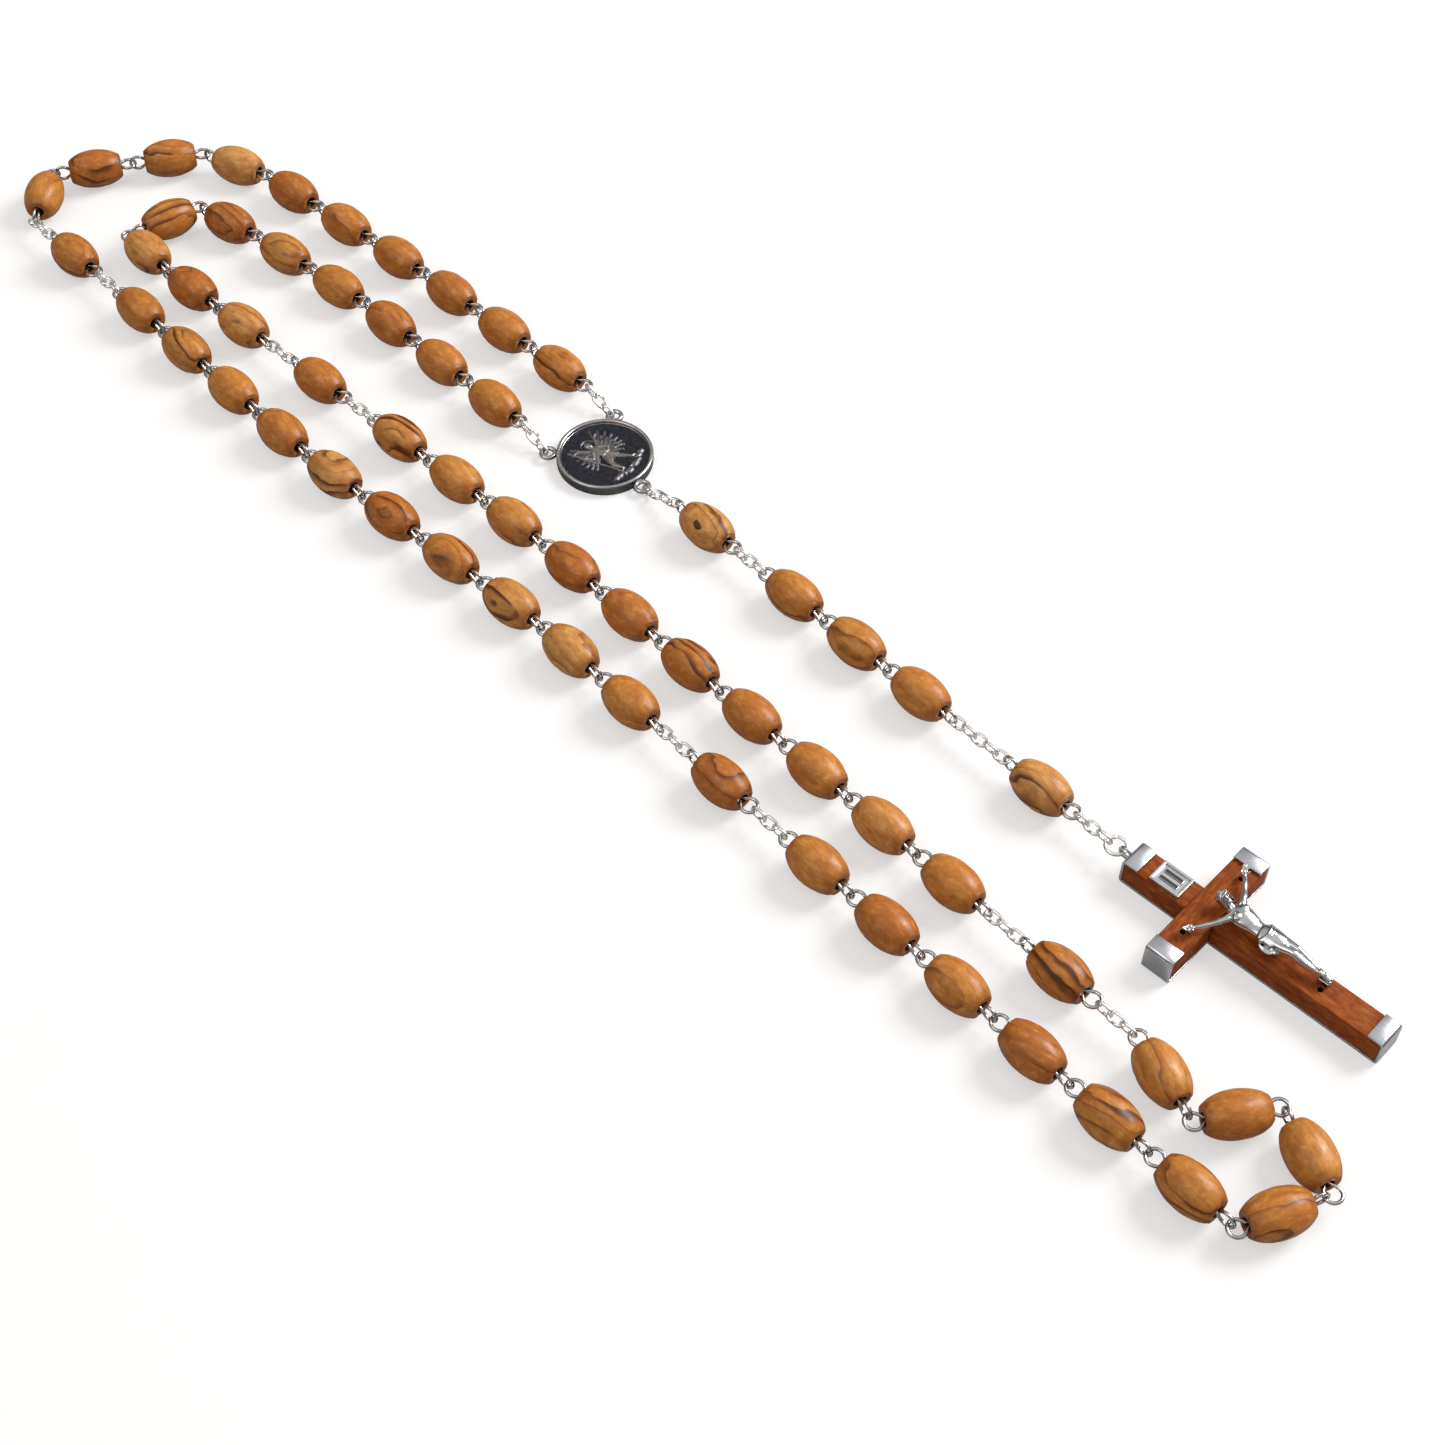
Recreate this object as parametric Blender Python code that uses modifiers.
"""Five-decade wooden rosary laid out on a table.

Lengths are metres, +Z is up and the table is z = 0. The origin is the centre of the
medal's flat back. The two strands of the loop leave the medal's left and right ears and
meet at a threaded pair of eyes that is left open; the drop strand leaves the lower ear
and ends in the crucifix. Each strand is a tree of pieces: every piece hangs from an
empty that stands on its joint's axis, with local Y across the strand (lift) and local Z
upwards (yaw).
"""

import math

import bmesh
import bpy
from mathutils import Matrix, Vector

MM = 0.001

# Beads: turned ovals with flat ends, bored along their axis.
BEAD_RADIUS = 3.0 * MM
BEAD_HALF = 4.0 * MM
BEAD_ROUND_HALF = 4.9 * MM
BEAD_BORE_RADIUS = 0.9 * MM
BEAD_STATIONS = (1.0, 0.62, 0.0, -0.62, -1.0)
BEAD_STEPS = 12
STRAND_HEIGHT = BEAD_RADIUS

# Eye pins: wire bent to a teardrop eye at each end.
WIRE_RADIUS = 0.25 * MM
EYE_RADIUS = 1.05 * MM
EYE_SETBACK = 1.15 * MM
LEG_OFFSET = 0.33 * MM
LEG_INSIDE = 0.6 * MM
EYE_ARC_STEPS = 6
EYE_ARC_DEG = 250.0

# Chain links: stadium-shaped rings of finer wire.
LINK_WIRE_RADIUS = 0.22 * MM
LINK_LENGTH = 2.2 * MM
LINK_WIDTH = 1.45 * MM
LINK_ARC_STEPS = 3

# How far apart neighbouring rings stand.
RUNNING_GAP = 0.1 * MM
FUSED_OVERLAP = 0.1 * MM
SOLDER_OVERLAP = 0.12 * MM

# Medal.
MEDAL_RADIUS = 7.0 * MM
MEDAL_THICKNESS = 1.7 * MM
MEDAL_FACE = 1.25 * MM
MEDAL_RIM = 0.6 * MM
MEDAL_EDGE = 0.15 * MM
EAR_RADIUS = 0.98 * MM
EAR_WIRE = 0.35 * MM
EAR_DISTANCE = 8.2 * MM
EAR_HEIGHT = 1.0 * MM
MEDAL_STEPS = 40
EAR_ANGLES = {"right": 82.0, "left": 176.0, "drop": -48.0}

# Crucifix, measured along +X from its top end, +Y across, +Z up.
CROSS_LENGTH = 38.0 * MM
CROSS_SPAN = 20.2 * MM
CROSS_AT = 11.6 * MM
BEAM_WIDTH = 4.0 * MM
SHEET = 0.4 * MM
SEAT_GAP = 0.05 * MM
WOOD_HEIGHT = 3.3 * MM
CROSSBAR_HEIGHT = 3.6 * MM
WOOD_EDGE = 0.12 * MM
CLIP_LIP = 2.3 * MM
LUG_RADIUS = 0.8 * MM
LUG_WIRE = 0.28 * MM
TITLE_LENGTH = 4.4 * MM
TITLE_WIDTH = 3.4 * MM
TITLE_HEIGHT = 0.5 * MM
TITLE_BORDER = 0.35 * MM
TITLE_AT = 6.0 * MM

# Corpus: a cast figure held off the wood by three pegs.
CORPUS_SHIFT = 0.7 * MM
PEG_RADIUS = 0.28 * MM
PEG_DEPTH = 1.6 * MM
PEG_HOLE_RADIUS = 0.36 * MM
PEG_HEAD_RADIUS = 0.5 * MM
PEG_HEAD_HEIGHT = 0.25 * MM
PEG_SIDES = 8
BORE_BOTTOM = 2.0 * MM
BORE_TOP = 9.0 * MM

# Jump ring.
JUMP_RADIUS = 1.35 * MM
JUMP_WIRE = 0.25 * MM

# Where the strands lie: guide lines in millimetres from the medal's centre.
RIGHT_GUIDE = (
    (-32, 40), (-61, 65), (-67, 66), (-91, 60.5), (-91, 49.5), (-73, 31),
    (-42.5, -1.5), (-8, -33), (75, -122.5), (88.5, -115), (72, -97),
)
LEFT_GUIDE = (
    (-38, 31), (-54.5, 45), (-68, 54.5), (-76.5, 44.5), (-69.5, 39),
    (-9.5, -17), (74, -106), (80, -107),
)
DROP_HEADING = -46.5
CROSS_HEADING = -43.6

SMOOTH_ANGLE = math.radians(35.0)

# Colours: base colour, roughness, metallic.
FINISHES = {
    "olive_wood": ((0.50, 0.24, 0.07, 1.0), 0.38, 0.0),
    "cross_wood": ((0.26, 0.09, 0.03, 1.0), 0.50, 0.0),
    "pin_wire": ((0.56, 0.56, 0.55, 1.0), 0.25, 1.0),
    "chain_silver": ((0.86, 0.85, 0.81, 1.0), 0.25, 1.0),
    "medal_metal": ((0.22, 0.22, 0.23, 1.0), 0.35, 1.0),
    "cross_silver": ((0.66, 0.66, 0.66, 1.0), 0.30, 1.0),
}

PARTS = bpy.data.collections.new("rosary")
CUTTERS = bpy.data.collections.new("cutters")


# ---------------------------------------------------------------- scene and helpers


def clear_scene():
    for old in list(bpy.data.objects):
        bpy.data.objects.remove(old, do_unlink=True)
    bpy.context.scene.collection.children.link(PARTS)
    bpy.context.scene.collection.children.link(CUTTERS)


def finish_material(name):
    """The named finish as a Principled material, made once."""
    material = bpy.data.materials.get(name)
    if material is None:
        colour, roughness, metallic = FINISHES[name]
        material = bpy.data.materials.new(name)
        material.use_nodes = True
        shader = material.node_tree.nodes["Principled BSDF"]
        shader.inputs["Base Color"].default_value = colour
        shader.inputs["Roughness"].default_value = roughness
        shader.inputs["Metallic"].default_value = metallic
    return material


def frame_at(point, heading, pitch=0.0):
    """A frame at a point, its X turned to a heading and raised by a pitch, in degrees."""
    turn = Matrix.Rotation(math.radians(heading), 4, "Z")
    tilt = Matrix.Rotation(-math.radians(pitch), 4, "Y")
    return Matrix.Translation(point) @ turn @ tilt


def along(heading):
    """The unit vector of a heading on the table."""
    return Vector((math.cos(math.radians(heading)), math.sin(math.radians(heading)), 0.0))


def heading_of(vector):
    return math.degrees(math.atan2(vector.y, vector.x))


def add_object(name, mesh, finish):
    """A part with its material, in the object's collection."""
    obj = bpy.data.objects.new(name, mesh)
    mesh.materials.clear()
    mesh.materials.append(finish_material(finish))
    PARTS.objects.link(obj)
    return obj


def helper_object(mesh):
    """A shape that only cuts or joins others, kept out of the object."""
    obj = bpy.data.objects.new("helper", mesh)
    obj.hide_render = True
    obj.display_type = "WIRE"
    CUTTERS.objects.link(obj)
    return obj


def evaluated_mesh(obj):
    """What an object's curve or modifiers make, with a curve's caps welded on."""
    bpy.context.view_layer.update()
    graph = bpy.context.evaluated_depsgraph_get()
    mesh = bpy.data.meshes.new_from_object(obj.evaluated_get(graph))
    bm = bmesh.new()
    bm.from_mesh(mesh)
    bmesh.ops.remove_doubles(bm, verts=bm.verts, dist=1e-7)
    bmesh.ops.recalc_face_normals(bm, faces=bm.faces)
    bm.to_mesh(mesh)
    bm.free()
    bpy.data.objects.remove(obj, do_unlink=True)
    return mesh


def gathered(placed):
    """One mesh of separate bodies, from (mesh, matrix) pairs."""
    bm = bmesh.new()
    for mesh, matrix in placed:
        copy = mesh.copy()
        copy.transform(matrix)
        bm.from_mesh(copy)
        bpy.data.meshes.remove(copy)
    mesh = bpy.data.meshes.new("gathered")
    bm.to_mesh(mesh)
    bm.free()
    return mesh


def combined(base, *others, operation="UNION"):
    """The base mesh joined with, or cut by, the other meshes in turn."""
    result = base
    for other in others:
        obj = helper_object(result)
        tool = helper_object(other)
        boolean = obj.modifiers.new("combine", "BOOLEAN")
        boolean.operation = operation
        boolean.solver = "EXACT"
        boolean.object = tool
        result = evaluated_mesh(obj)
        bpy.data.objects.remove(tool, do_unlink=True)
    return result


def wire_mesh(points, radius, closed=False):
    """A round wire of a few sides along the points, with filled ends when open."""
    curve = bpy.data.curves.new("wire", "CURVE")
    curve.dimensions = "3D"
    curve.bevel_depth = radius
    curve.bevel_resolution = 0
    curve.use_fill_caps = not closed
    spline = curve.splines.new("POLY")
    spline.points.add(len(points) - 1)
    for point, place in zip(spline.points, points):
        point.co = (*place, 1.0)
    spline.use_cyclic_u = closed
    return evaluated_mesh(helper_object(curve))


def turned_mesh(profile, steps):
    """A profile of (radius, height) pairs turned round Z, smooth but for its corners."""
    bm = bmesh.new()
    points = [bm.verts.new((radius, 0.0, height)) for radius, height in profile]
    for first, second in zip(points, points[1:]):
        bm.edges.new((first, second))
    if profile[0][0] > 0.0:
        bm.edges.new((points[-1], points[0]))
    mesh = bpy.data.meshes.new("profile")
    bm.to_mesh(mesh)
    bm.free()
    obj = helper_object(mesh)
    screw = obj.modifiers.new("turn", "SCREW")
    screw.steps = steps
    screw.render_steps = steps
    screw.use_merge_vertices = True
    screw.merge_threshold = 1e-6
    return evaluated_mesh(obj)


def box_mesh(low, high):
    """A box between two corners."""
    size = [top - bottom for bottom, top in zip(low, high)]
    centre = [(top + bottom) / 2 for bottom, top in zip(low, high)]
    bm = bmesh.new()
    bmesh.ops.create_cube(bm, size=1.0, matrix=Matrix.LocRotScale(centre, None, size))
    mesh = bpy.data.meshes.new("box")
    bm.to_mesh(mesh)
    bm.free()
    return mesh


def rod_mesh(radius, bottom, top):
    """An upright rod between two heights."""
    middle = Matrix.Translation((0.0, 0.0, (bottom + top) / 2))
    bm = bmesh.new()
    bmesh.ops.create_cone(
        bm, cap_ends=True, segments=PEG_SIDES, radius1=radius, radius2=radius,
        depth=top - bottom, matrix=middle,
    )
    mesh = bpy.data.meshes.new("rod")
    bm.to_mesh(mesh)
    bm.free()
    return mesh


# ---------------------------------------------------------------- rings and spacing


class Ring:
    """The round end of an eye, link, ear, jump ring or lug."""

    def __init__(self, radius, wire):
        self.radius = radius
        self.wire = wire


EYE = Ring(EYE_RADIUS, WIRE_RADIUS)
LINK = Ring(LINK_WIDTH / 2, LINK_WIRE_RADIUS)
EAR = Ring(EAR_RADIUS, EAR_WIRE)
JUMP = Ring(JUMP_RADIUS, JUMP_WIRE)
LUG = Ring(LUG_RADIUS, LUG_WIRE)


def spacing(first, second, gap=RUNNING_GAP):
    """Distance between the centres of two threaded rings pulled apart to a gap."""
    return first.radius + second.radius - first.wire - second.wire - gap


LINK_STRAIGHT = LINK_LENGTH - LINK_WIDTH
LINK_STEP = LINK_STRAIGHT + spacing(LINK, LINK, -SOLDER_OVERLAP)
PIN_REACH = 2 * (BEAD_HALF + EYE_SETBACK)
MID_SPACING = spacing(EYE, EYE, -FUSED_OVERLAP)


def chain_reach(count):
    """Distance between the first and last ring centres of a chain section."""
    return (count - 1) * LINK_STEP + LINK_STRAIGHT


PATER_CHAIN = 3
PATER_PIN_AT = chain_reach(PATER_CHAIN) + spacing(LINK, EYE, -SOLDER_OVERLAP)
PATER_REACH = 2 * PATER_PIN_AT + PIN_REACH


# ---------------------------------------------------------------- wires, links, beads


def side(flat):
    """Across a flat ring, or up an upright one."""
    return Vector((0.0, 1.0, 0.0)) if flat else Vector((0.0, 0.0, 1.0))


def eye_points(flat):
    """A teardrop eye beyond a bead's end face at x = 0, from one leg to the other."""
    across = side(flat)
    ahead = Vector((1.0, 0.0, 0.0))
    centre = ahead * EYE_SETBACK
    points = [across * LEG_OFFSET - ahead * LEG_INSIDE]
    for step in range(EYE_ARC_STEPS + 1):
        angle = math.radians(EYE_ARC_DEG * (0.5 - step / EYE_ARC_STEPS))
        points.append(centre + EYE_RADIUS * (ahead * math.cos(angle) + across * math.sin(angle)))
    points.append(-across * LEG_OFFSET - ahead * LEG_INSIDE)
    return points


def start_eye_points(flat):
    """The eye at a bead's start face, mirrored so that it opens towards +X."""
    return [Vector((-point.x, point.y, point.z)) for point in eye_points(flat)]


def eye_mesh(flat, at_start):
    points = start_eye_points(flat) if at_start else eye_points(flat)
    return wire_mesh(points, WIRE_RADIUS)


def pin_mesh(start_flat, end_flat):
    """A whole eye pin along X, centred on the bead it passes through."""
    start_face = Vector((-BEAD_HALF, 0.0, 0.0))
    points = [start_face + point for point in start_eye_points(start_flat)]
    points.append(start_face + Vector((2 * LEG_INSIDE, 0.0, 0.0)))
    points.append(-start_face - Vector((2 * LEG_INSIDE, 0.0, 0.0)))
    points += [-start_face + point for point in reversed(eye_points(end_flat))]
    return wire_mesh(points, WIRE_RADIUS)


def link_mesh(flat):
    """A stadium-shaped link along X, its near end's centre at the origin."""
    across = side(flat)
    ahead = Vector((1.0, 0.0, 0.0))
    points = []
    for centre, start in ((LINK_STRAIGHT, -90.0), (0.0, 90.0)):
        for step in range(LINK_ARC_STEPS + 1):
            angle = math.radians(start + 180.0 * step / LINK_ARC_STEPS)
            reach = ahead * math.cos(angle) + across * math.sin(angle)
            points.append(ahead * centre + reach * LINK_WIDTH / 2)
    return wire_mesh(points, LINK_WIRE_RADIUS, closed=True)


def placed_links(count, first_flat, start=0.0):
    """Links of a chain section, turned by quarter turns in step, as (mesh, matrix)."""
    placed = []
    for index in range(count):
        flat = first_flat == (index % 2 == 0)
        at = Matrix.Translation((start + index * LINK_STEP, 0.0, 0.0))
        placed.append((link_mesh(flat), at))
    return placed


def chain_mesh(count, first_flat):
    """A chain section whose links are soldered in line."""
    placed = placed_links(count, first_flat)
    return combined(gathered(placed[0::2]), gathered(placed[1::2]))


def bead_profile(bored):
    """(radius, height) down the bead's side; a bored bead's profile closes up its bore."""
    profile = []
    for station in BEAD_STATIONS:
        height = station * BEAD_HALF
        radius = BEAD_RADIUS * math.sqrt(1.0 - (height / BEAD_ROUND_HALF) ** 2)
        profile.append((radius, height))
    inner = BEAD_BORE_RADIUS if bored else 0.0
    return [(inner, BEAD_HALF), *profile, (inner, -BEAD_HALF)]


def bead_mesh(bored):
    """A bead along X, centred at the origin."""
    mesh = turned_mesh(bead_profile(bored), BEAD_STEPS)
    mesh.transform(Matrix.Rotation(math.radians(90.0), 4, "Y"))
    return mesh


def pair_mesh(bend, end_flat):
    """Two beads and their pins as one solid, bent where their inner eyes meet.

    It starts at its first eye's centre, which lies flat; the second bead turns by the bend.
    """
    bead = bead_mesh(bored=False)
    pin_middle = PIN_REACH / 2
    first = Matrix.Translation((pin_middle, 0.0, 0.0))
    elbow = frame_at(Vector((PIN_REACH + MID_SPACING, 0.0, 0.0)), bend)
    second = elbow @ first
    back = Matrix.Translation((-BEAD_HALF, 0.0, 0.0))
    front = Matrix.Translation((BEAD_HALF, 0.0, 0.0))
    outer_eyes = gathered([
        (eye_mesh(True, at_start=True), first @ back),
        (eye_mesh(False, at_start=False), first @ front),
        (eye_mesh(end_flat, at_start=False), second @ front),
    ])
    inner_eye = gathered([(eye_mesh(True, at_start=True), second @ back)])
    return combined(gathered([(bead, first), (bead, second)]), outer_eyes, inner_eye)


def pater_pin_mesh():
    """A single bead's pin with a soldered chain section on each side."""
    end_chain = PATER_PIN_AT + PIN_REACH + spacing(EYE, LINK, -SOLDER_OVERLAP)
    before = placed_links(PATER_CHAIN, True)
    after = placed_links(PATER_CHAIN, False, end_chain)
    pin_at = Matrix.Translation((PATER_PIN_AT + PIN_REACH / 2, 0.0, 0.0))
    odd = before[0::2] + after[0::2]
    even = before[1::2] + after[1::2] + [(pin_mesh(False, True), pin_at)]
    return combined(gathered(odd), gathered(even))


# ---------------------------------------------------------------- the tree of pieces


class Tip:
    """The end of a strand so far: the ring that the next piece threads."""

    def __init__(self, point, heading, ring, hinge=None, hinge_frame=None):
        self.point = point
        self.heading = heading
        self.ring = ring
        self.hinge = hinge
        self.hinge_frame = hinge_frame or Matrix.Identity(4)


def add_hinge(name, frame, parent, parent_frame):
    """An empty on a joint's axis: local X along the strand, Y across it, Z up."""
    hinge = bpy.data.objects.new("hinge_" + name, None)
    hinge.empty_display_size = 2 * MM
    hinge.parent = parent
    hinge.matrix_basis = parent_frame.inverted() @ frame
    PARTS.objects.link(hinge)
    return hinge


def place(obj, frame, hinge, hinge_frame):
    obj.parent = hinge
    obj.matrix_basis = hinge_frame.inverted() @ frame
    return obj


def add_piece(name, mesh, finish, tip, start, hinge_name, at_parent_ring):
    """A piece in its start frame, hung from a hinge at the parent's ring or its own."""
    pivot = tip.point if at_parent_ring else start.translation
    heading = tip.heading if at_parent_ring else heading_of(start.to_3x3().col[0])
    frame = frame_at(pivot, heading)
    hinge = add_hinge(hinge_name, frame, tip.hinge, tip.hinge_frame)
    place(add_object(name, mesh, finish), start, hinge, frame)
    return hinge, frame


def add_spinning_bead(name, centre_frame, hinge, hinge_frame):
    """A bored bead that turns on its pin."""
    spin = add_hinge(name + "_spin", centre_frame, hinge, hinge_frame)
    bead = add_object(name + "_bead", bead_mesh(bored=True), "olive_wood")
    place(bead, centre_frame, spin, centre_frame)


def add_chain(name, count, first_flat, tip, heading, kind, at_parent_ring, end_height=None):
    """A chain section. From a low ear it climbs until its last ring centre is at a height."""
    wire = tip.point + tip.ring.radius * along(heading)
    ahead = spacing(tip.ring, LINK) - tip.ring.radius
    reach = chain_reach(count)
    rise = 0.0 if end_height is None else end_height - tip.point.z
    pitch = math.degrees(math.asin(rise / (ahead + reach)))
    start = frame_at(wire, heading, pitch) @ Matrix.Translation((ahead, 0.0, 0.0))
    mesh = chain_mesh(count, first_flat)
    hinge, frame = add_piece(name, mesh, "chain_silver", tip, start, f"{name}_{kind}", at_parent_ring)
    end = (start @ Matrix.Translation((reach, 0.0, 0.0))).translation
    return Tip(end, heading, LINK, hinge, frame)


def add_pin_and_bead(name, start_flat, end_flat, tip, heading, kind, at_parent_ring):
    """One pin with its own turning bead."""
    start_point = tip.point + spacing(tip.ring, EYE) * along(tip.heading)
    start_point.z = STRAND_HEIGHT
    centre = frame_at(start_point, heading) @ Matrix.Translation((PIN_REACH / 2, 0.0, 0.0))
    mesh = pin_mesh(start_flat, end_flat)
    mesh.transform(Matrix.Translation((PIN_REACH / 2, 0.0, 0.0)))
    start = frame_at(start_point, heading)
    hinge, frame = add_piece(name + "_pin", mesh, "pin_wire", tip, start, f"{name}_{kind}", at_parent_ring)
    add_spinning_bead(name, centre, hinge, frame)
    end = start_point + PIN_REACH * along(heading)
    return Tip(end, heading, EYE, hinge, frame)


def add_pair(name, tip, first_heading, second_heading, end_flat=False):
    """Two beads as one piece, lifting about the ring before it."""
    start_point = tip.point + spacing(tip.ring, EYE) * along(tip.heading)
    start = frame_at(start_point, first_heading)
    bend = second_heading - first_heading
    mesh = pair_mesh(bend, end_flat)
    hinge, frame = add_piece(name, mesh, "olive_wood", tip, start, name + "_lift", True)
    elbow = start_point + (PIN_REACH + MID_SPACING) * along(first_heading)
    end = elbow + PIN_REACH * along(second_heading)
    return Tip(end, second_heading, EYE, hinge, frame)


def add_pater_unit(name, tip, heading):
    """A single bead of the loop with the pin and chain sections on both its sides."""
    start_point = tip.point + spacing(tip.ring, LINK) * along(tip.heading)
    start = frame_at(start_point, heading)
    hinge, frame = add_piece(
        name + "_pin_and_chains", pater_pin_mesh(), "pin_wire", tip, start, name + "_lift", True
    )
    centre = start @ Matrix.Translation((PATER_REACH / 2, 0.0, 0.0))
    add_spinning_bead(name, centre, hinge, frame)
    return Tip(start_point + PATER_REACH * along(heading), heading, LINK, hinge, frame)


# ---------------------------------------------------------------- laying the loop out


class Guide:
    """A line on the table that a strand is laid along, a rod at a time."""

    def __init__(self, start, corners):
        self.corners = [start] + [Vector((x * MM, y * MM, 0.0)) for x, y in corners]
        self.leg = 0

    def heading_for(self, point, reach):
        """The heading that takes a rod from a point near the line to the line again."""
        here = Vector((point.x, point.y, 0.0))
        for leg in range(self.leg, len(self.corners) - 1):
            first = self.corners[leg]
            run = self.corners[leg + 1] - first
            back = first - here
            a = run.length_squared
            b = 2.0 * run.dot(back)
            c = back.length_squared - reach**2
            root = b * b - 4.0 * a * c
            if root < 0.0:
                continue
            share = (-b + math.sqrt(root)) / (2.0 * a)
            if 0.0 <= share <= 1.0:
                self.leg = leg
                return heading_of(first + run * share - here)
        raise ValueError("the guide is too short for the strand")


def next_start(tip, ring):
    """Where the next piece's first ring centre comes."""
    return tip.point + spacing(tip.ring, ring) * along(tip.heading)


def add_pairs(decade, numbers, tip, guide, last_ring):
    """Pairs of a decade in order; last_ring is what follows the last one, or None."""
    for number in numbers:
        follows = EYE if number != numbers[-1] else last_ring
        start = next_start(tip, EYE)
        first_reach = PIN_REACH + MID_SPACING
        first = guide.heading_for(start, first_reach)
        second_reach = PIN_REACH + (spacing(EYE, follows) if follows else 0.0)
        second = guide.heading_for(start + first_reach * along(first), second_reach)
        tip = add_pair(f"decade_{decade}_pair_{number}", tip, first, second)
    return tip


def add_loop_pater(name, tip, guide):
    start = next_start(tip, LINK)
    heading = guide.heading_for(start, PATER_REACH + spacing(LINK, EYE))
    return add_pater_unit(name, tip, heading)


def loop_start(ear_name, corners):
    """The medal's ear, its chain section and the guide for the strand beyond it."""
    ear = ear_point(ear_name)
    guide = Guide(Vector((ear.x, ear.y, 0.0)), corners)
    reach = spacing(EAR, LINK) + chain_reach(PATER_CHAIN)
    heading = guide.heading_for(ear, reach + spacing(LINK, EYE))
    tip = Tip(ear, heading, EAR)
    tip = add_chain(
        "chain_" + ear_name, PATER_CHAIN, False, tip, heading, "lift", False, STRAND_HEIGHT
    )
    return tip, guide


def build_right_strand():
    """Decades 1 and 2 and most of decade 3; its last eye is left for the other strand."""
    tip, guide = loop_start("right", RIGHT_GUIDE)
    tip = add_pairs(1, (1, 2, 3, 4, 5), tip, guide, LINK)
    tip = add_loop_pater("pater_1", tip, guide)
    tip = add_pairs(2, (1, 2, 3, 4, 5), tip, guide, LINK)
    tip = add_loop_pater("pater_2", tip, guide)
    return add_pairs(3, (1, 2, 3, 4), tip, guide, None)


def closing_headings(start, target):
    """Headings of two rods that reach from a start to a target, bending to the left."""
    first = PIN_REACH + MID_SPACING
    second = PIN_REACH
    gap = target - start
    inside = (first**2 + gap.length_squared - second**2) / (2.0 * first * gap.length)
    turn = math.degrees(math.acos(min(1.0, inside)))
    heading = heading_of(gap) - turn
    return heading, heading_of(target - start - first * along(heading))


def build_left_strand(open_eye):
    """Decades 5 and 4 and the last pair of decade 3, aimed at the right strand's eye."""
    tip, guide = loop_start("left", LEFT_GUIDE)
    tip = add_pairs(5, (5, 4, 3, 2, 1), tip, guide, LINK)
    tip = add_loop_pater("pater_4", tip, guide)
    tip = add_pairs(4, (5, 4, 3, 2, 1), tip, guide, LINK)
    tip = add_loop_pater("pater_3", tip, guide)
    start = next_start(tip, EYE)
    through = open_eye.point + EYE_RADIUS * along(open_eye.heading)
    slack = EYE_RADIUS - 2 * WIRE_RADIUS - RUNNING_GAP
    target = through - slack * (through - start).normalized()
    first, second = closing_headings(start, target)
    add_pair("decade_3_pair_5", tip, first, second, end_flat=True)


# ---------------------------------------------------------------- medal


def ear_point(name):
    return EAR_DISTANCE * along(EAR_ANGLES[name]) + Vector((0.0, 0.0, EAR_HEIGHT))


def ring_mesh(ring, flat, steps=12):
    """A whole ring about the origin."""
    across = side(flat)
    points = []
    for step in range(steps):
        angle = 2.0 * math.pi * step / steps
        points.append(ring.radius * (Vector((math.cos(angle), 0.0, 0.0)) + across * math.sin(angle)))
    return wire_mesh(points, ring.wire, closed=True)


def build_medal():
    """A disc with a raised rim and three flat ears, its back on the table."""
    rim_inner = MEDAL_RADIUS - MEDAL_RIM
    profile = (
        (0.0, MEDAL_FACE),
        (rim_inner - MEDAL_EDGE, MEDAL_FACE),
        (rim_inner, MEDAL_THICKNESS),
        (MEDAL_RADIUS - MEDAL_EDGE, MEDAL_THICKNESS),
        (MEDAL_RADIUS, MEDAL_THICKNESS - MEDAL_EDGE),
        (MEDAL_RADIUS, MEDAL_EDGE),
        (MEDAL_RADIUS - MEDAL_EDGE, 0.0),
        (0.0, 0.0),
    )
    disc = turned_mesh(profile, MEDAL_STEPS)
    ears = gathered([
        (ring_mesh(EAR, True), frame_at(ear_point(name), angle))
        for name, angle in EAR_ANGLES.items()
    ])
    add_object("medal", combined(disc, ears), "medal_metal")


# ---------------------------------------------------------------- crucifix


def strap_mesh(length, top):
    """A sheet strap along X whose two ends fold up and over, one beam wide."""
    fold = SHEET
    half = [
        (length / 2, fold),
        (length / 2, top - fold),
        (length / 2 - fold, top),
        (length / 2 - CLIP_LIP, top),
        (length / 2 - CLIP_LIP, top - SHEET),
        (length / 2 - SHEET, top - SHEET),
        (length / 2 - SHEET, SHEET),
    ]
    low = [(length / 2 - fold, 0.0)]
    outline = low + half + [(-x, z) for x, z in reversed(half)] + [(-x, z) for x, z in low]
    bm = bmesh.new()
    face = bm.faces.new([bm.verts.new((x, -BEAM_WIDTH / 2, z)) for x, z in outline])
    swept = bmesh.ops.extrude_face_region(bm, geom=[face])
    moved = [item for item in swept["geom"] if isinstance(item, bmesh.types.BMVert)]
    bmesh.ops.translate(bm, verts=moved, vec=(0.0, BEAM_WIDTH, 0.0))
    bmesh.ops.recalc_face_normals(bm, faces=bm.faces)
    mesh = bpy.data.meshes.new("strap")
    bm.to_mesh(mesh)
    bm.free()
    return mesh


def clip_top(wood_height):
    """Height of a clip's outer face over wood of a height."""
    return SHEET + SEAT_GAP + wood_height + SEAT_GAP + SHEET


LUG_AT = Vector((-LUG_RADIUS, 0.0, STRAND_HEIGHT))


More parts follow.
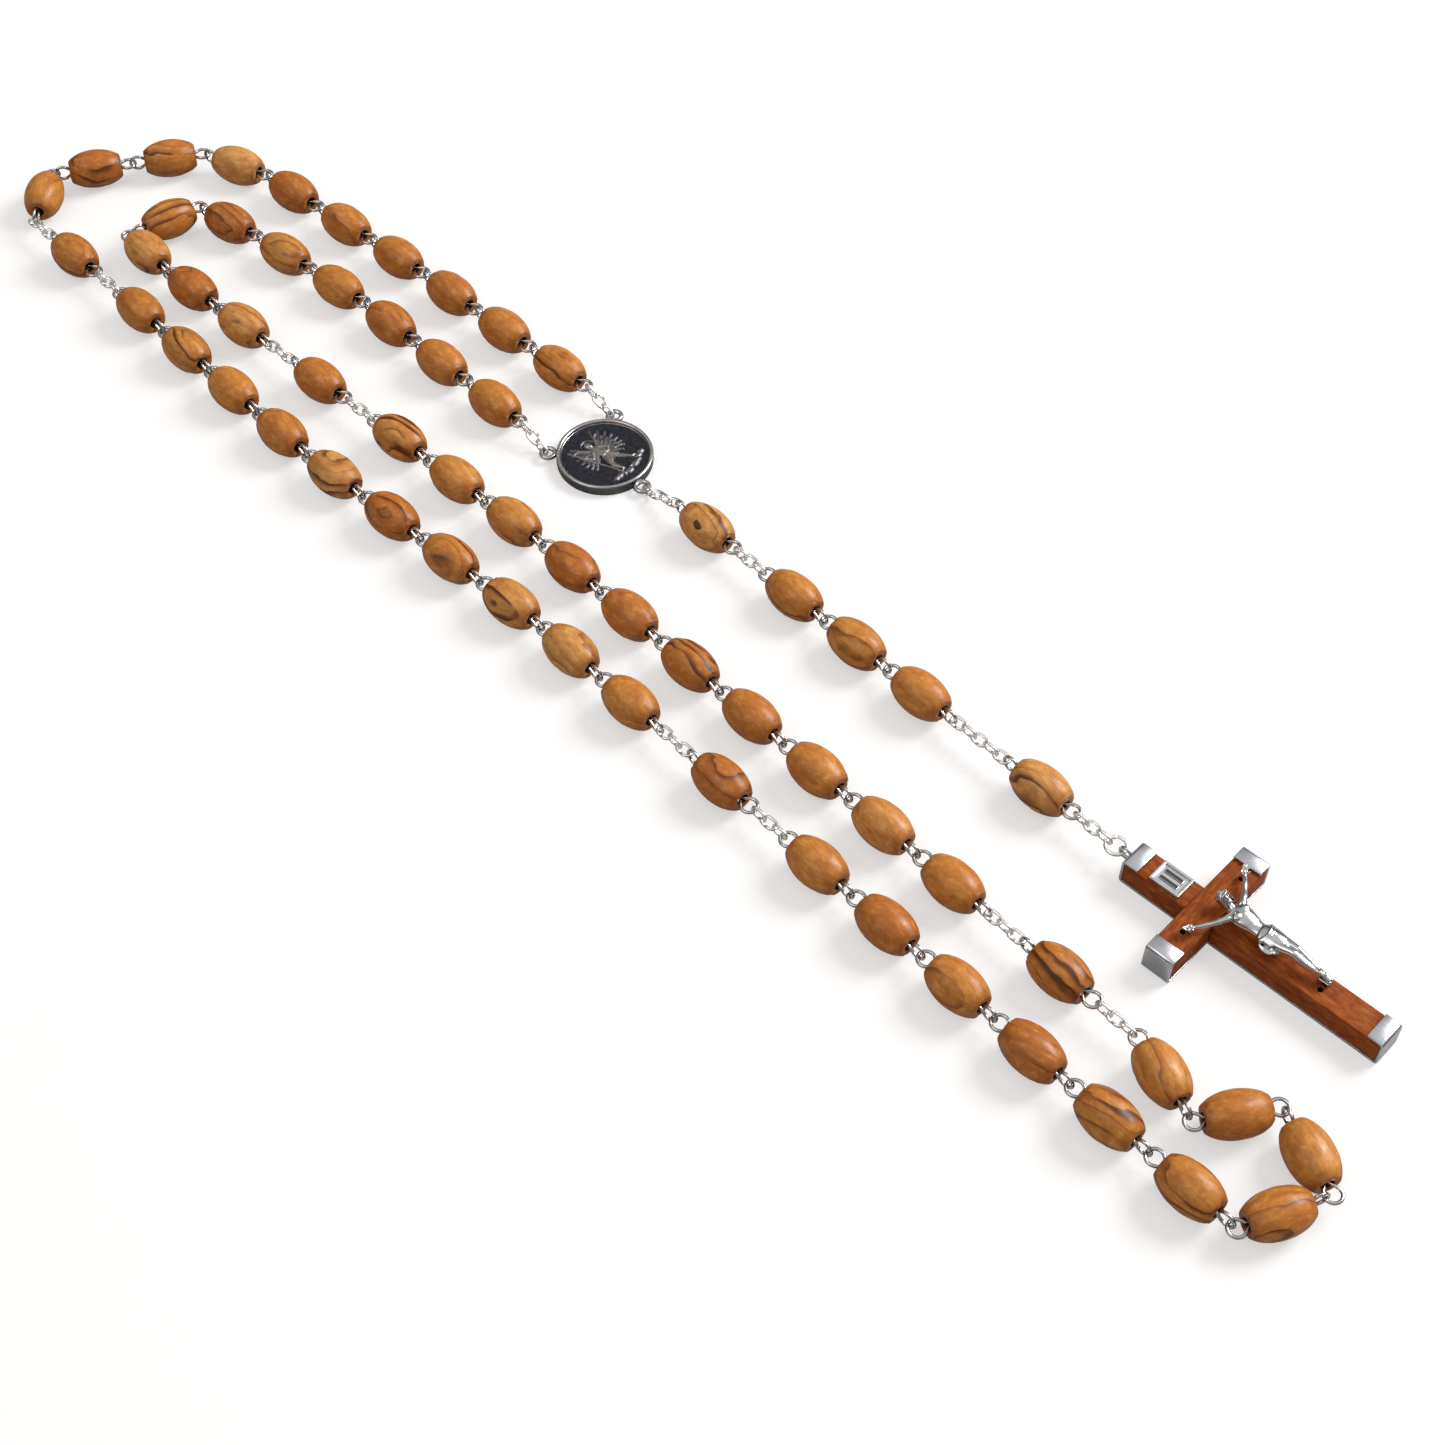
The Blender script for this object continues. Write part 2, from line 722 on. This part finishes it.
def backing_mesh():
    """The sheet cross with its four clips and the lug at its top end."""
    upright = gathered([(
        strap_mesh(CROSS_LENGTH, clip_top(WOOD_HEIGHT)),
        Matrix.Translation((CROSS_LENGTH / 2, 0.0, 0.0)),
    )])
    turn = frame_at(Vector((CROSS_AT, 0.0, 0.0)), 90.0)
    crossbar = gathered([(strap_mesh(CROSS_SPAN, clip_top(CROSSBAR_HEIGHT)), turn)])
    lug = gathered([(ring_mesh(LUG, False), Matrix.Translation(LUG_AT))])
    return combined(upright, crossbar, lug)


def wood_mesh(low_x, high_x, width, height, holes=()):
    """A block of the cross with softened edges and blind peg holes."""
    base = SHEET + SEAT_GAP
    mesh = box_mesh((low_x, -width / 2, base), (high_x, width / 2, base + height))
    obj = helper_object(mesh)
    bevel = obj.modifiers.new("edges", "BEVEL")
    bevel.width = WOOD_EDGE
    bevel.segments = 1
    mesh = evaluated_mesh(obj)
    top = base + height
    cutters = [
        (rod_mesh(PEG_HOLE_RADIUS, top - PEG_DEPTH, top + MM), Matrix.Translation((x, y, 0.0)))
        for x, y in holes
    ]
    if cutters:
        mesh = combined(mesh, gathered(cutters), operation="DIFFERENCE")
    return mesh


# The figure as a stick skeleton: place below the cross's top, place across, height above
# the crossbar's face, half-width and half-depth, all in millimetres.
FIGURE = {
    "pelvis": (19.6, 0.0, 1.15, 1.25, 0.95),
    "waist": (18.0, 0.0, 1.15, 0.95, 0.72),
    "chest": (15.9, 0.0, 1.35, 1.45, 0.95),
    "neck": (14.1, 0.15, 1.6, 0.55, 0.55),
    "head": (12.9, 0.45, 1.9, 0.95, 0.95),
    "right_elbow": (13.5, 3.0, 1.3, 0.48, 0.48),
    "right_hand": (12.1, 5.5, 1.1, 0.60, 0.50),
    "left_elbow": (13.5, -3.0, 1.3, 0.48, 0.48),
    "left_hand": (12.1, -5.5, 1.1, 0.60, 0.50),
    "knees": (23.4, 0.2, 1.45, 0.95, 0.70),
    "ankles": (26.7, 0.0, 1.15, 0.62, 0.55),
    "feet": (28.2, 0.0, 1.05, 0.62, 0.50),
}
BONES = (
    ("pelvis", "waist"), ("waist", "chest"), ("chest", "neck"), ("neck", "head"),
    ("chest", "right_elbow"), ("right_elbow", "right_hand"),
    ("chest", "left_elbow"), ("left_elbow", "left_hand"),
    ("pelvis", "knees"), ("knees", "ankles"), ("ankles", "feet"),
)
PEGGED = ("right_hand", "left_hand", "feet")


def figure_point(name):
    x, y, z, _, _ = FIGURE[name]
    base = SHEET + SEAT_GAP + CROSSBAR_HEIGHT
    return Vector((x * MM, y * MM + CORPUS_SHIFT, base + z * MM))


def corpus_mesh():
    """The cast figure grown round its skeleton, with a bore at each peg."""
    names = list(FIGURE)
    mesh = bpy.data.meshes.new("skeleton")
    edges = [(names.index(first), names.index(second)) for first, second in BONES]
    mesh.from_pydata([figure_point(name) for name in names], edges, [])
    obj = helper_object(mesh)
    obj.modifiers.new("flesh", "SKIN")
    for vertex, name in zip(mesh.skin_vertices[0].data, names):
        _, _, _, wide, deep = FIGURE[name]
        vertex.radius = (wide * MM, deep * MM)
        vertex.use_root = name == "pelvis"
    smooth = obj.modifiers.new("smooth", "SUBSURF")
    smooth.levels = 1
    smooth.render_levels = 1
    body = evaluated_mesh(obj)
    bores = []
    for name in PEGGED:
        point = figure_point(name)
        at = Matrix.Translation((point.x, point.y, 0.0))
        bores.append((rod_mesh(PEG_HOLE_RADIUS, BORE_BOTTOM, BORE_TOP), at))
    return combined(body, gathered(bores), operation="DIFFERENCE")


def peg_mesh(name):
    """A peg from the wood up through the hand or feet, with a round head."""
    point = figure_point(name)
    wood = SHEET + SEAT_GAP + (WOOD_HEIGHT if name == "feet" else CROSSBAR_HEIGHT)
    head = point.z + FIGURE[name][4] * MM + 2 * SEAT_GAP
    shank = rod_mesh(PEG_RADIUS, wood - PEG_DEPTH + 2 * SEAT_GAP, head + PEG_HEAD_HEIGHT / 2)
    cap = rod_mesh(PEG_HEAD_RADIUS, head, head + PEG_HEAD_HEIGHT)
    mesh = combined(shank, cap)
    mesh.transform(Matrix.Translation((point.x, point.y, 0.0)))
    return mesh


def title_mesh():
    """The title plate: a raised border round a sunk field with two plain bars."""
    base = SHEET + SEAT_GAP + WOOD_HEIGHT + SEAT_GAP
    top = base + TITLE_HEIGHT
    half_x = TITLE_LENGTH / 2
    half_y = TITLE_WIDTH / 2
    plate = box_mesh((-half_x, -half_y, base), (half_x, half_y, top))
    inner_x = half_x - TITLE_BORDER
    inner_y = half_y - TITLE_BORDER
    floor = base + TITLE_HEIGHT / 2
    field = box_mesh((-inner_x, -inner_y, floor), (inner_x, inner_y, top + MM))
    mesh = combined(plate, field, operation="DIFFERENCE")
    mesh.transform(Matrix.Translation((TITLE_AT, 0.0, 0.0)))
    return mesh


def build_crucifix(tip):
    """The crucifix on its jump ring: backing, three wood blocks, title plate, corpus, pegs."""
    top = frame_at(tip.point + spacing(JUMP, LUG) * along(CROSS_HEADING), CROSS_HEADING)
    origin = top @ Matrix.Translation(-LUG_AT)
    frame = frame_at(tip.point, tip.heading)
    hinge = add_hinge("crucifix_turn", frame, tip.hinge, tip.hinge_frame)
    bar_low = CROSS_AT - BEAM_WIDTH / 2
    bar_high = CROSS_AT + BEAM_WIDTH / 2
    inside = SHEET + SEAT_GAP
    hand_holes = [
        (figure_point(name).y, CROSS_AT - figure_point(name).x) for name in PEGGED[:2]
    ]
    feet = figure_point("feet")
    bar = wood_mesh(
        -CROSS_SPAN / 2 + inside, CROSS_SPAN / 2 - inside, BEAM_WIDTH, CROSSBAR_HEIGHT, hand_holes
    )
    bar.transform(frame_at(Vector((CROSS_AT, 0.0, 0.0)), 90.0))
    low_block = wood_mesh(
        bar_high + SEAT_GAP, CROSS_LENGTH - inside, BEAM_WIDTH, WOOD_HEIGHT, [(feet.x, feet.y)]
    )
    upper_block = wood_mesh(inside, bar_low - SEAT_GAP, BEAM_WIDTH, WOOD_HEIGHT)
    pieces = [
        ("crucifix_backing", backing_mesh(), "cross_silver"),
        ("crucifix_upright_upper", upper_block, "cross_wood"),
        ("crucifix_upright_lower", low_block, "cross_wood"),
        ("crucifix_crossbar", bar, "cross_wood"),
        ("crucifix_title_plate", title_mesh(), "cross_silver"),
        ("crucifix_corpus", corpus_mesh(), "cross_silver"),
        ("crucifix_peg_right_hand", peg_mesh("right_hand"), "cross_silver"),
        ("crucifix_peg_left_hand", peg_mesh("left_hand"), "cross_silver"),
        ("crucifix_peg_feet", peg_mesh("feet"), "cross_silver"),
    ]
    for name, mesh, finish in pieces:
        place(add_object(name, mesh, finish), origin, hinge, frame)


# ---------------------------------------------------------------- drop strand


def build_drop():
    """The strand below the medal: 1 + 3 + 1 beads, their chain sections and the crucifix."""
    heading = DROP_HEADING
    tip = Tip(ear_point("drop"), heading, EAR)
    tip = add_chain("chain_1", 4, False, tip, heading, "yaw", True, STRAND_HEIGHT)
    tip = add_pin_and_bead("drop_pater_1", False, True, tip, heading, "lift", False)
    tip = add_chain("chain_2", 3, False, tip, heading, "lift", False)
    tip = add_pin_and_bead("drop_ave_1", True, False, tip, heading, "yaw", False)
    tip = add_pin_and_bead("drop_ave_2", True, False, tip, heading, "lift", True)
    tip = add_pin_and_bead("drop_ave_3", True, False, tip, heading, "lift", True)
    tip = add_chain("chain_3", 5, True, tip, heading, "lift", True)
    tip = add_pin_and_bead("drop_pater_2", False, True, tip, heading, "lift", False)
    tip = add_chain("chain_4", 3, False, tip, heading, "yaw", True)
    ring_point = next_start(tip, JUMP)
    start = frame_at(ring_point, heading)
    hinge, frame = add_piece(
        "jump_ring", ring_mesh(JUMP, True), "chain_silver", tip, start, "jump_ring_lift", True
    )
    build_crucifix(Tip(ring_point, heading, JUMP, hinge, frame))


def smooth_round_parts():
    for obj in PARTS.objects:
        if obj.type == "MESH":
            obj.data.shade_smooth()
            obj.data.set_sharp_from_angle(angle=SMOOTH_ANGLE)


def main():
    clear_scene()
    build_medal()
    open_eye = build_right_strand()
    build_left_strand(open_eye)
    build_drop()
    smooth_round_parts()


main()
